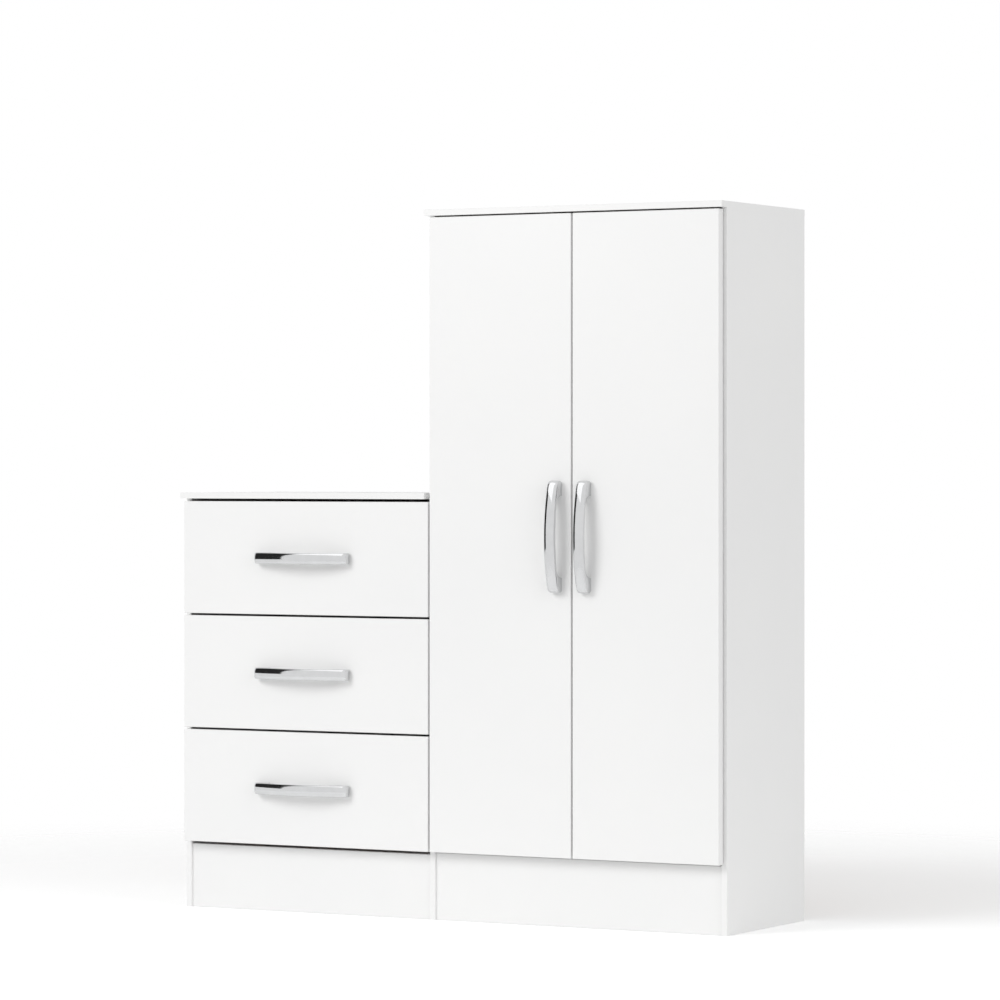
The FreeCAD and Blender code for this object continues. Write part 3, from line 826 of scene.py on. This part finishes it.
    def fit(self, master: bpy.types.Object, node: str, body: str, lie: Lie) -> None:
        """Puts one handle where the frame has it.

        Args:
            master: The modelled handle.
            node: Frame node that it stands for.
            body: Body that it moves with.
            lie: Level on a drawer, upright on a door.
        """
        low, high = corners(node)
        middle = (low + high) / 2
        turn = Matrix.Rotation(QUARTER, 4, "Y") if lie is Lie.UPRIGHT else Matrix.Identity(4)
        place = Matrix.Translation((middle.x, high.y, middle.z)) @ turn
        piece = Bench.copies(master, node + "_bow", [place])
        Bench.dress(piece, self.finishes.chrome, body, "chrome_handle")
        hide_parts(node)


@dataclass
class CrossScrew:
    """Pan-head screw with a cross recess, sized for a handle; head toward +Z, seat at the origin."""

    head: float = 8 * MM
    thick: float = 2.4 * MM
    slot_width: float = 1.1 * MM
    slot_length: float = 4.4 * MM
    slot_depth: float = 1.2 * MM
    shank: float = 4 * MM
    shank_length: float = 0.0
    crown_share: float = 0.7
    crown_steps: int = 3
    sides: int = 20

    def master(self, name: str) -> bpy.types.Object:
        """Models the screw.

        Args:
            name: Name of the piece.

        Returns:
            The screw at the origin.
        """
        Bench.clear()
        bpy.ops.mesh.primitive_cylinder_add(vertices=self.sides, radius=self.head / 2, depth=self.thick,
                                            location=(0, 0, self.thick / 2))
        piece = Bench.start(name)
        Bench.pick(piece, lambda spot: abs(spot.z - self.thick) < ON_PLANE, Pick.EDGE)
        bpy.ops.mesh.bevel(offset=self.thick * self.crown_share, segments=self.crown_steps, affect="EDGES")
        if self.shank_length:
            Bench.pick(piece, lambda spot: abs(spot.z) < ON_PLANE and spot.length < AT_POINT, Pick.FACE)
            bpy.ops.mesh.inset(thickness=(self.head - self.shank) / 2)
            Bench.pull((0, 0, -self.shank_length))
        Bench.close(piece)
        self._cut_cross(piece)
        return piece

    def _cut_cross(self, piece: bpy.types.Object) -> None:
        """Cuts the driver recess into the head.

        Args:
            piece: The screw.
        """
        for angle in (0.0, QUARTER):
            Bench.clear()
            bpy.ops.mesh.primitive_cube_add(size=1, location=(0, 0, self.thick), rotation=(0, 0, angle),
                                            scale=(self.slot_length, self.slot_width, 2 * self.slot_depth))
            cutter = bpy.context.object
            Bench.hold(piece)
            cut = piece.modifiers.new("cross", "BOOLEAN")
            cut.operation = "DIFFERENCE"
            cut.solver = "EXACT"
            cut.object = cutter
            bpy.ops.object.modifier_apply(modifier=cut.name)
            bpy.data.objects.remove(cutter)


@dataclass
class RunnerScrew(CrossScrew):
    """Low screw of a runner plate, clear of the drawer's rail."""

    head: float = 4.6 * MM
    thick: float = 1.0 * MM
    slot_width: float = 0.7 * MM
    slot_length: float = 2.6 * MM
    slot_depth: float = 0.5 * MM


@dataclass
class PlateScrew(CrossScrew):
    """Screw of a hinge plate."""

    head: float = 7 * MM
    thick: float = 1.8 * MM
    slot_length: float = 3.8 * MM


@dataclass
class CupScrew(CrossScrew):
    """Screw of a hinge cup's flange."""

    head: float = 6.4 * MM
    thick: float = 1.6 * MM
    slot_width: float = 0.9 * MM
    slot_length: float = 3.4 * MM
    slot_depth: float = 0.8 * MM


@dataclass
class RunnerWheel:
    """Nylon runner wheel along X, its middle at the origin: rounded tread, dished sides, hub and bore."""

    finishes: FinishSet
    diameter: float = 18 * MM
    width: float = 7 * MM
    tread_round: float = 0.9 * MM
    tread_steps: int = 3
    rim: float = 1.3 * MM
    dish: float = 1.2 * MM
    hub: float = 7.4 * MM
    hub_lift: float = 0.9 * MM
    bore: float = 4.1 * MM
    sides: int = 48
    smooth_angle: float = 40.0

    def master(self) -> bpy.types.Object:
        """Models the wheel.

        Returns:
            The wheel at the origin.
        """
        Bench.clear()
        bpy.ops.mesh.primitive_cylinder_add(vertices=self.sides, radius=self.diameter / 2, depth=self.width,
                                            location=(0, 0, 0), rotation=(0, QUARTER, 0))
        piece = Bench.start("runner_wheel")
        side = self.width / 2
        Bench.pick(piece, lambda spot: abs(abs(spot.x) - side) < ON_PLANE, Pick.EDGE)
        bpy.ops.mesh.bevel(offset=self.tread_round, segments=self.tread_steps, affect="EDGES")
        dish_radius = self.diameter / 2 - self.tread_round - self.rim
        for way in (-1, 1):
            Bench.pick(piece, lambda spot: (spot - Vector((way * side, 0, 0))).length < AT_POINT, Pick.FACE)
            bpy.ops.mesh.inset(thickness=self.rim)
            Bench.pull((-way * self.dish, 0, 0))
            bpy.ops.mesh.inset(thickness=dish_radius - self.hub / 2)
            Bench.pull((way * self.hub_lift, 0, 0))
            bpy.ops.mesh.inset(thickness=(self.hub - self.bore) / 2)
        end = Vector((side - self.dish + self.hub_lift, 0, 0))
        Bench.pick(piece, lambda spot: min((spot - end).length, (spot + end).length) < AT_POINT, Pick.FACE)
        bpy.ops.mesh.bridge_edge_loops()
        Bench.close(piece, self.smooth_angle)
        return piece

    def fit(self, master: bpy.types.Object, node: str) -> None:
        """Puts the pair of wheels of one axle line where the frame has them.

        Args:
            master: The modelled wheel.
            node: Frame node that the pair stands for, also the name of its body.
        """
        low, high = corners(node)
        middle = (low + high) / 2
        half = self.width / 2
        places = [Matrix.Translation((x, middle.y, middle.z)) for x in (low.x + half, high.x - half)]
        piece = Bench.copies(master, node + "_turned", places)
        Bench.dress(piece, self.finishes.nylon, node, "white_nylon")
        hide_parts(node)


@dataclass
class BackNail:
    """Flat wire nail with a low crowned head, toward +Z."""

    head: float = 5 * MM
    thick: float = 0.8 * MM
    proud: float = 0.2 * MM
    crown_share: float = 0.6
    crown_steps: int = 2
    sides: int = 14

    def master(self) -> bpy.types.Object:
        """Models the nail head.

        Returns:
            The head at the origin.
        """
        Bench.clear()
        bpy.ops.mesh.primitive_cylinder_add(vertices=self.sides, radius=self.head / 2, depth=self.thick,
                                            location=(0, 0, self.proud - self.thick / 2))
        piece = Bench.start("back_nail")
        Bench.pick(piece, lambda spot: abs(spot.z - self.proud) < ON_PLANE, Pick.EDGE)
        bpy.ops.mesh.bevel(offset=self.thick * self.crown_share, segments=self.crown_steps, affect="EDGES")
        Bench.close(piece)
        return piece


@dataclass
class Carcass:
    """Standing boards, tops, floors, plinths, backs, shelves, runners and hinge plates."""

    finishes: FinishSet
    nail_step: float = 118 * MM
    nail_inset: float = 5 * MM
    least_nail_spaces: int = 2
    runner_screws: int = 3
    runner_screw_lift: float = 22.0 * MM
    runner_screw_start: float = 0.14
    runner_screw_step: float = 0.36
    sheet: float = 1.2 * MM
    plate_seat: float = 9 * MM
    plate_screw_spread: float = 16.5 * MM
    plate_screw_back: float = 43 * MM

    def dress_nodes(self) -> None:
        """Gives every frame node its finish."""
        for entry in frame["record"]["subparts"]:
            node = frame["nodes"][entry["node"]]
            finish = self.finishes.for_node(entry["node"], entry["material_slot"])
            if not node.material_slots:
                node.data.materials.append(finish)
            for holder in node.material_slots:
                holder.material = finish
            log.info("%s: finish %s", entry["node"], finish.name)

    def nail_backs(self) -> None:
        """Nails both back boards round their edges."""
        master = BackNail().master()
        turn = Matrix.Rotation(-QUARTER, 4, "X")
        for node in ("chest_back", "cabinet_back"):
            low, high = corners(node)
            places = [Matrix.Translation((x, high.y, z)) @ turn for x, z in self._border(low, high)]
            piece = Bench.copies(master, node + "_nails", places)
            Bench.dress(piece, self.finishes.zinc, "carcass", "zinc_steel")
        bpy.data.objects.remove(master)

    def _border(self, low: Vector, high: Vector) -> list[tuple[float, float]]:
        """Even nail places along the edges of a back board.

        Args:
            low: Lowest corner of the board.
            high: Highest corner.

        Returns:
            X and Z of each nail.
        """
        x0, x1 = low.x + self.nail_inset, high.x - self.nail_inset
        z0, z1 = low.z + self.nail_inset, high.z - self.nail_inset
        across = max(self.least_nail_spaces, round((x1 - x0) / self.nail_step))
        up = max(self.least_nail_spaces, round((z1 - z0) / self.nail_step))
        rows = [(x0 + (x1 - x0) * step / across, z) for step in range(across + 1) for z in (z0, z1)]
        posts = [(x, z0 + (z1 - z0) * step / up) for step in range(1, up) for x in (x0, x1)]
        return rows + posts

    def screw_runners(self) -> None:
        """Screws every runner plate to its panel, above the path of the rollers."""
        master = RunnerScrew().master("runner_screw")
        low, high = corners("cabinet_runners")
        places = []
        for number in DRAWERS:
            height = corners(f"drawer_{number}_left_side")[0].z + self.runner_screw_lift
            for step in range(self.runner_screws):
                y = low.y + (high.y - low.y) * (self.runner_screw_start + self.runner_screw_step * step)
                for x, way in ((low.x + self.sheet, QUARTER), (high.x - self.sheet, -QUARTER)):
                    places.append(Matrix.Translation((x, y, height)) @ Matrix.Rotation(way, 4, "Y"))
        piece = Bench.copies(master, "runner_screws", places)
        Bench.dress(piece, self.finishes.zinc, "carcass", "zinc_steel")
        bpy.data.objects.remove(master)

    def fit_wheels(self) -> None:
        """Puts turned wheels on the front and rear axles of every drawer."""
        wheel = RunnerWheel(self.finishes)
        master = wheel.master()
        for number in DRAWERS:
            for end in ("front", "rear"):
                wheel.fit(master, f"drawer_{number}_{end}_rollers")
        bpy.data.objects.remove(master)

    def screw_hinge_plates(self, heights: Sequence[float]) -> None:
        """Screws the hinge plates to the partition and the right side panel.

        Args:
            heights: Middle height of each hinge.
        """
        master = PlateScrew().master("plate_screw")
        y = corners("centre_partition")[0].y + self.plate_screw_back
        lifts = (-self.plate_screw_spread, self.plate_screw_spread)
        for side in Side:
            x = side.hinge_edge + side.value * self.plate_seat
            turn = Matrix.Rotation(QUARTER * side.value, 4, "Y")
            places = [Matrix.Translation((x, y, height + lift)) @ turn
                      for height in heights for lift in lifts]
            piece = Bench.copies(master, side.word + "_plate_screws", places)
            Bench.dress(piece, self.finishes.zinc, "carcass", "zinc_steel")
        bpy.data.objects.remove(master)


@dataclass
class FrontFittings:
    """What is fastened to the drawer fronts and doors: handles, handle screws and cup screws."""

    finishes: FinishSet
    hole_spacing: float = 160 * MM
    screw_bite: float = 9 * MM
    front_board: float = 15 * MM
    cup_from_edge: float = 21 * MM
    cup_screw_spread: float = 21.6 * MM
    flange: float = 1 * MM
    flange_half: float = 26 * MM

    @staticmethod
    def fronts() -> list[tuple[str, Lie]]:
        """Body of every drawer and door, with the way its handle lies."""
        drawers = [(f"drawer_{number}", Lie.LEVEL) for number in DRAWERS]
        return drawers + [(side.word + "_door", Lie.UPRIGHT) for side in Side]

    def fit_handles(self) -> None:
        """Models the handle once and puts a copy on every front."""
        handle = BowHandle(self.finishes)
        master = handle.master()
        for body, lie in self.fronts():
            handle.fit(master, body + "_handle", body, lie)
        bpy.data.objects.remove(master)

    def fit_handle_screws(self) -> None:
        """Puts a pair of cross-head screws behind every handle."""
        screw = CrossScrew(shank_length=self.front_board + self.screw_bite)
        master = screw.master("handle_screw")
        turn = Matrix.Rotation(-QUARTER, 4, "X")
        for body, lie in self.fronts():
            node = body + "_handle_screws"
            low, high = corners(node)
            seat = Vector(((low.x + high.x) / 2, high.y - screw.thick, (low.z + high.z) / 2))
            along = Vector((0, 0, 1)) if lie is Lie.UPRIGHT else Vector((1, 0, 0))
            halves = (-self.hole_spacing / 2, self.hole_spacing / 2)
            places = [Matrix.Translation(seat + along * half) @ turn for half in halves]
            piece = Bench.copies(master, node + "_cross", places)
            Bench.dress(piece, self.finishes.zinc, body, "zinc_steel")
            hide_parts(node)
        bpy.data.objects.remove(master)

    def hinge_heights(self) -> list[float]:
        """Middle heights of the hinges, from the ends of the lowest and highest cup flange."""
        low, high = corners("left_door_hinge_cups")
        return [low.z + self.flange_half, high.z - self.flange_half]

    def fit_cup_screws(self) -> None:
        """Screws the flange of every hinge cup to its door."""
        master = CupScrew().master("cup_screw")
        turn = Matrix.Rotation(-QUARTER, 4, "X")
        lifts = (-self.cup_screw_spread, self.cup_screw_spread)
        for side in Side:
            x = side.hinge_edge + side.value * self.cup_from_edge
            y = corners(side.word + "_door_panel")[1].y + self.flange
            places = [Matrix.Translation((x, y, height + lift)) @ turn
                      for height in self.hinge_heights() for lift in lifts]
            piece = Bench.copies(master, side.word + "_cup_screws", places)
            Bench.dress(piece, self.finishes.zinc, side.word + "_door", "zinc_steel")
        bpy.data.objects.remove(master)


# Studio

def aim(place: Place, target: Place) -> Euler:
    """Turn of a lamp or card at a place that faces a target."""
    return (Vector(target) - Vector(place)).to_track_quat("-Z", "Y").to_euler()


@dataclass(frozen=True)
class Lamp:
    """Soft rectangular lamp in watts and metres, which polished metal doesn't show."""

    name: str
    power: float
    place: Place
    size: Pair
    target: Place

    def put_up(self) -> None:
        """Adds the lamp to the scene."""
        data = bpy.data.lights.new(self.name, "AREA")
        data.shape = "RECTANGLE"
        data.energy = self.power
        data.size, data.size_y = self.size
        lamp = bpy.data.objects.new(self.name, data)
        lamp.location = self.place
        lamp.rotation_euler = aim(self.place, self.target)
        lamp.visible_glossy = False
        bpy.context.scene.collection.objects.link(lamp)


@dataclass(frozen=True)
class Card:
    """Card that only polished metal shows, which paints a reflection on it: a painted highlight where it
    glows, and with next to no glow a painted dark reflection, like a black flag.
    """

    name: str
    glow: float
    place: Place
    size: Pair
    target: Place
    cloud: Grain = Grain(4, 2)
    dim: Colour = (0.9, 0.9, 0.9, 1)

    def put_up(self) -> None:
        """Adds the card to the scene."""
        Bench.clear()
        bpy.ops.mesh.primitive_plane_add(size=1, location=self.place, rotation=aim(self.place, self.target))
        card = bpy.context.object
        card.name = self.name
        card.scale = (*self.size, 1)
        shader = Shader(self.name)
        # Its glow is a painted reflection: the card lights nothing and casts no shadow, only polished metal
        # shows it.
        light = shader.add("ShaderNodeEmission")
        light.inputs["Strength"].default_value = self.glow
        shader.link(shader.ramp(shader.noise(self.cloud), self.dim, WHITE), light.inputs["Color"])
        shader.link(light.outputs["Emission"], shader.output.inputs["Surface"])
        card.data.materials.append(shader.material)
        card.visible_camera = False
        card.visible_diffuse = False
        card.visible_shadow = False


@dataclass
class Studio:
    """Pale floor, white surroundings, soft lamps, cards that paint reflections on polished metal, and the
    camera at the photograph's place.
    """

    floor_radius: float = 6.0
    floor_sides: int = 96
    floor_roughness: float = 0.9
    floor_cloud: Grain = Grain(3, 2)
    floor_shade: Colour = (0.965, 0.965, 0.965, 1)
    floor_tone: Colour = (0.975, 0.975, 0.975, 1)
    floor_fade: Pair = (1.0, 2.2)
    floor_lift: float = 0.2
    world_level: float = 0.59
    world_shown: float = 1.0
    lamps: tuple[Lamp, ...] = (
        Lamp("key_lamp", 104.0, (-1.9, -4.2, 3.05), (2.4, 2.4), (0, 0, 0.6)),
        Lamp("fill_lamp", 39.5, (4.2, -1.4, 1.9), (3.2, 3.2), (0.2, 0, 0.6)),
    )
    reflection_cards: tuple[Card, ...] = (
        # Painted dark reflection on the chrome: a near-black sheet that only polished metal shows.
        Card("painted_dark_reflection_card", 0.03, (-2.0, -0.86, 1.475), (1.66, 2.25), (-0.33, 0.23, 1.475)),
        # Painted highlight on the chrome: a glowing sheet that is no lamp and lights nothing.
        Card("painted_highlight_card", 1.6, (-0.15, -0.66, 1.345), (0.9, 0.88), (0.235, -0.165, 0.7)),
    )
    camera_place: Place = (3.6361, -6.4469, 0.7234)
    camera_turn: float = 0.51
    camera_reach: float = 60.0
    focal_pixels: float = 4544.6
    horizon_row: float = 470.36
    image_size: float = 1000.0
    sensor: float = 36.0

    def build(self) -> None:
        """Sets up everything round the object."""
        scene = bpy.context.scene
        scene.view_settings.view_transform = "Standard"
        self._world(scene)
        self._floor()
        for fixture in (*self.lamps, *self.reflection_cards):
            fixture.put_up()
        self._camera(scene)

    def _world(self, scene: bpy.types.Scene) -> None:
        """White to the eye and in reflections, softer as light.

        Args:
            scene: The scene that gets the world.
        """
        world = bpy.data.worlds.new("studio")
        scene.world = world
        world.use_nodes = True
        tree = world.node_tree
        tree.nodes.clear()
        output = tree.nodes.new("ShaderNodeOutputWorld")
        mix = tree.nodes.new("ShaderNodeMixShader")
        tree.links.new(seen_directly(tree), mix.inputs["Fac"])
        for entry, level in ((1, self.world_level), (2, self.world_shown)):
            light = tree.nodes.new("ShaderNodeBackground")
            light.inputs["Strength"].default_value = level
            light.inputs["Color"].default_value = WHITE
            tree.links.new(light.outputs["Background"], mix.inputs[entry])
        tree.links.new(mix.outputs["Shader"], output.inputs["Surface"])

    def _floor(self) -> None:
        """White floor that fades into the surroundings away from the object."""
        Bench.clear()
        bpy.ops.mesh.primitive_circle_add(vertices=self.floor_sides, radius=self.floor_radius,
                                          fill_type="NGON", location=(0, 0, 0))
        floor = bpy.context.object
        floor.name = "studio_floor"
        shader = Shader("studio_floor")
        shader.set("Roughness", self.floor_roughness)
        shader.base(shader.ramp(shader.noise(self.floor_cloud), self.floor_shade, self.floor_tone))
        length = shader.add("ShaderNodeVectorMath", operation="LENGTH")
        shader.link(shader.place, length.inputs[0])
        fade = shader.add("ShaderNodeMapRange", interpolation_type="SMOOTHSTEP")
        fade.inputs["From Min"].default_value, fade.inputs["From Max"].default_value = self.floor_fade
        shader.link(length.outputs["Value"], fade.inputs["Value"])
        glow = shader.add("ShaderNodeEmission")
        lift = shader.add("ShaderNodeMath", operation="MULTIPLY")
        lift.inputs[1].default_value = self.floor_lift
        shader.link(seen_directly(shader.tree), lift.inputs[0])
        shader.link(lift.outputs["Value"], glow.inputs["Strength"])
        sheet = shader.add("ShaderNodeAddShader")
        shader.link(shader.surface.outputs["BSDF"], sheet.inputs[0])
        shader.link(glow.outputs["Emission"], sheet.inputs[1])
        clear = shader.add("ShaderNodeBsdfTransparent")
        mix = shader.add("ShaderNodeMixShader")
        shader.link(fade.outputs["Result"], mix.inputs["Fac"])
        shader.link(sheet.outputs["Shader"], mix.inputs[1])
        shader.link(clear.outputs["BSDF"], mix.inputs[2])
        shader.link(mix.outputs["Shader"], shader.output.inputs["Surface"])
        floor.data.materials.append(shader.material)

    def _camera(self, scene: bpy.types.Scene) -> None:
        """Level camera, as far off and as long as the photograph's.

        Args:
            scene: The scene that gets the camera.
        """
        data = bpy.data.cameras.new("photo_camera")
        data.sensor_fit = "HORIZONTAL"
        data.sensor_width = self.sensor
        data.lens = self.focal_pixels / self.image_size * self.sensor
        data.shift_y = -(self.image_size / 2 - self.horizon_row) / self.image_size
        data.clip_end = self.camera_reach
        camera = bpy.data.objects.new("photo_camera", data)
        camera.location = self.camera_place
        camera.rotation_euler = (QUARTER, 0, self.camera_turn)
        scene.collection.objects.link(camera)
        scene.camera = camera


def main() -> None:
    """Builds and dresses the object, then the studio."""
    logging.basicConfig(level=logging.INFO, format="%(name)s %(message)s")
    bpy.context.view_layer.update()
    finishes = FinishSet()
    carcass = Carcass(finishes)
    fittings = FrontFittings(finishes)
    carcass.dress_nodes()
    carcass.nail_backs()
    carcass.screw_runners()
    carcass.fit_wheels()
    carcass.screw_hinge_plates(fittings.hinge_heights())
    fittings.fit_handles()
    fittings.fit_handle_screws()
    fittings.fit_cup_screws()
    Studio().build()


if __name__ == "__main__":
    main()
